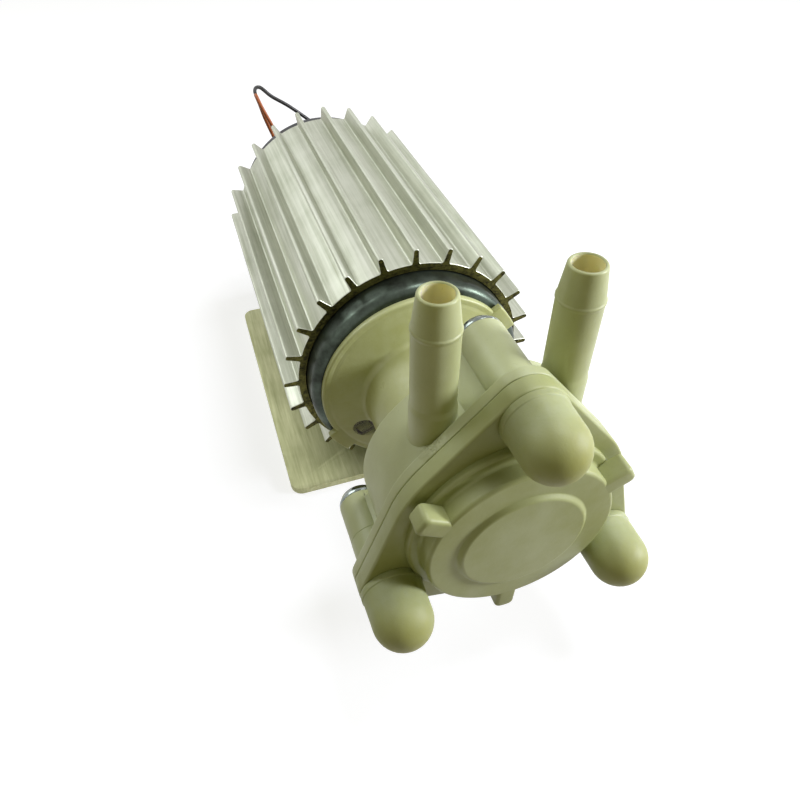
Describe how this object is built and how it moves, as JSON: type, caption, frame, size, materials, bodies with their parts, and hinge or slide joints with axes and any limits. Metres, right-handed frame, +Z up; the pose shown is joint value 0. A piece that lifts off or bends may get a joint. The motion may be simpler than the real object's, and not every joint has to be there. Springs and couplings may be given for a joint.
{
  "type": "magnetically coupled gear pump",
  "caption": "Small gear pump: a finned electric motor on a plate drives, through a magnetic coupling in a moulded neck, meshing gears in a pump head with upright hose barbs.",
  "frame": {"origin": "Centre of the base plate's underside, where the pump stands on a surface.", "axes": "+X is to the right seen from the pump head, +Y runs along the shaft from the pump head towards the leads, and +Z is up. The hose barbs point up. The motor and heat sink are turned by a small angle about the shaft."},
  "size_m": [0.0723, 0.2278, 0.0825],
  "materials": {
    "plate_metal": "raw rolled sheet, satin",
    "rail_metal": "milled bar, satin",
    "sink_metal": "raw extrusion, satin, saw-cut ends",
    "can_steel": "dark plated steel, satin",
    "bearing_bronze": "sintered bronze, matte",
    "magnet_ferrite": "sintered ferrite, matte",
    "core_steel": "stacked sheet steel",
    "winding_copper": "enamelled copper wire, glossy",
    "commutator_copper": "turned copper",
    "shaft_steel": "ground steel",
    "holder_brass": "pressed brass",
    "brush_carbon": "carbon, matte",
    "cap_black": "moulded black plastic, matte",
    "rubber_black": "soft black rubber",
    "moulded_ivory": "moulded off-white plastic, satin",
    "block_ivory": "machined plastic",
    "screw_dark": "blackened steel",
    "cup_steel": "turned steel",
    "thimble_plastic": "moulded plastic",
    "bush_carbon": "carbon bush, matte",
    "wear_plastic": "machined plastic",
    "gear_plastic": "cut plastic gear",
    "zinc": "bright zinc plating",
    "cap_translucent": "moulded plastic, slightly translucent",
    "wire_orange": "extruded wire insulation",
    "wire_black": "extruded wire insulation",
    "tie_white": "nylon strap",
    "connector_white": "moulded nylon",
    "contact_brass": "plated contact"
  },
  "bodies": {
    "pump": {"base_plate": "plate_metal", "saddle_rails": "rail_metal", "plate_screws": "zinc", "heat_sink": "sink_metal", "motor_can": "can_steel", "front_bearing": "bearing_bronze", "rear_bearing": "bearing_bronze", "field_magnets": "magnet_ferrite", "brush_holders": "holder_brass", "brushes": "brush_carbon", "rear_end_cap": "cap_black", "lead_grommets": "rubber_black", "bell_housing": "moulded_ivory", "bell_screws": "screw_dark", "separating_can": "thimble_plastic", "can_seal": "rubber_black", "rear_housing": "moulded_ivory", "neck_screws": "zinc", "bearing_block": "block_ivory", "shaft_bushes": "bush_carbon", "port_plate": "wear_plastic", "housing_seal": "rubber_black", "driven_pin": "shaft_steel", "front_housing": "moulded_ivory", "inlet_barb": "moulded_ivory", "outlet_barb": "moulded_ivory", "clamp_screws": "zinc", "clamp_washers": "zinc", "clamp_nuts": "zinc", "dome_caps": "cap_translucent", "orange_lead": "wire_orange", "black_lead": "wire_black", "orange_coil": "wire_orange", "black_coil": "wire_black", "orange_tail": "wire_orange", "black_tail": "wire_black", "coil_ties": "tie_white", "connector_housing": "connector_white", "connector_contacts": "contact_brass"},
    "motor_rotor": {"motor_shaft": "shaft_steel", "armature_core": "core_steel", "armature_windings": "winding_copper", "commutator": "commutator_copper", "drive_cup": "cup_steel", "drive_magnet": "magnet_ferrite", "cup_set_screw": "screw_dark"},
    "pump_rotor": {"pump_shaft": "shaft_steel", "driven_magnet": "magnet_ferrite", "drive_gear": "gear_plastic"},
    "driven_wheel": {"driven_gear": "gear_plastic"}
  },
  "joints": [
    {"name": "motor_spin", "type": "hinge", "parent": "pump", "child": "motor_rotor", "pos_m": [0, 0.0014, 0.0318], "axis": [0, 1, 0], "continuous": true},
    {"name": "drive_gear_spin", "type": "hinge", "parent": "pump", "child": "pump_rotor", "pos_m": [0, -0.0856, 0.0318], "axis": [0, 1, 0], "continuous": true},
    {"name": "driven_gear_spin", "type": "hinge", "parent": "pump", "child": "driven_wheel", "pos_m": [0.00054, -0.0856, 0.04579], "axis": [0, 1, 0], "continuous": true}
  ],
  "couplings": [
    {"joint": "drive_gear_spin", "follows": "motor_spin", "ratio": 1},
    {"joint": "driven_gear_spin", "follows": "motor_spin", "ratio": -1}
  ]
}
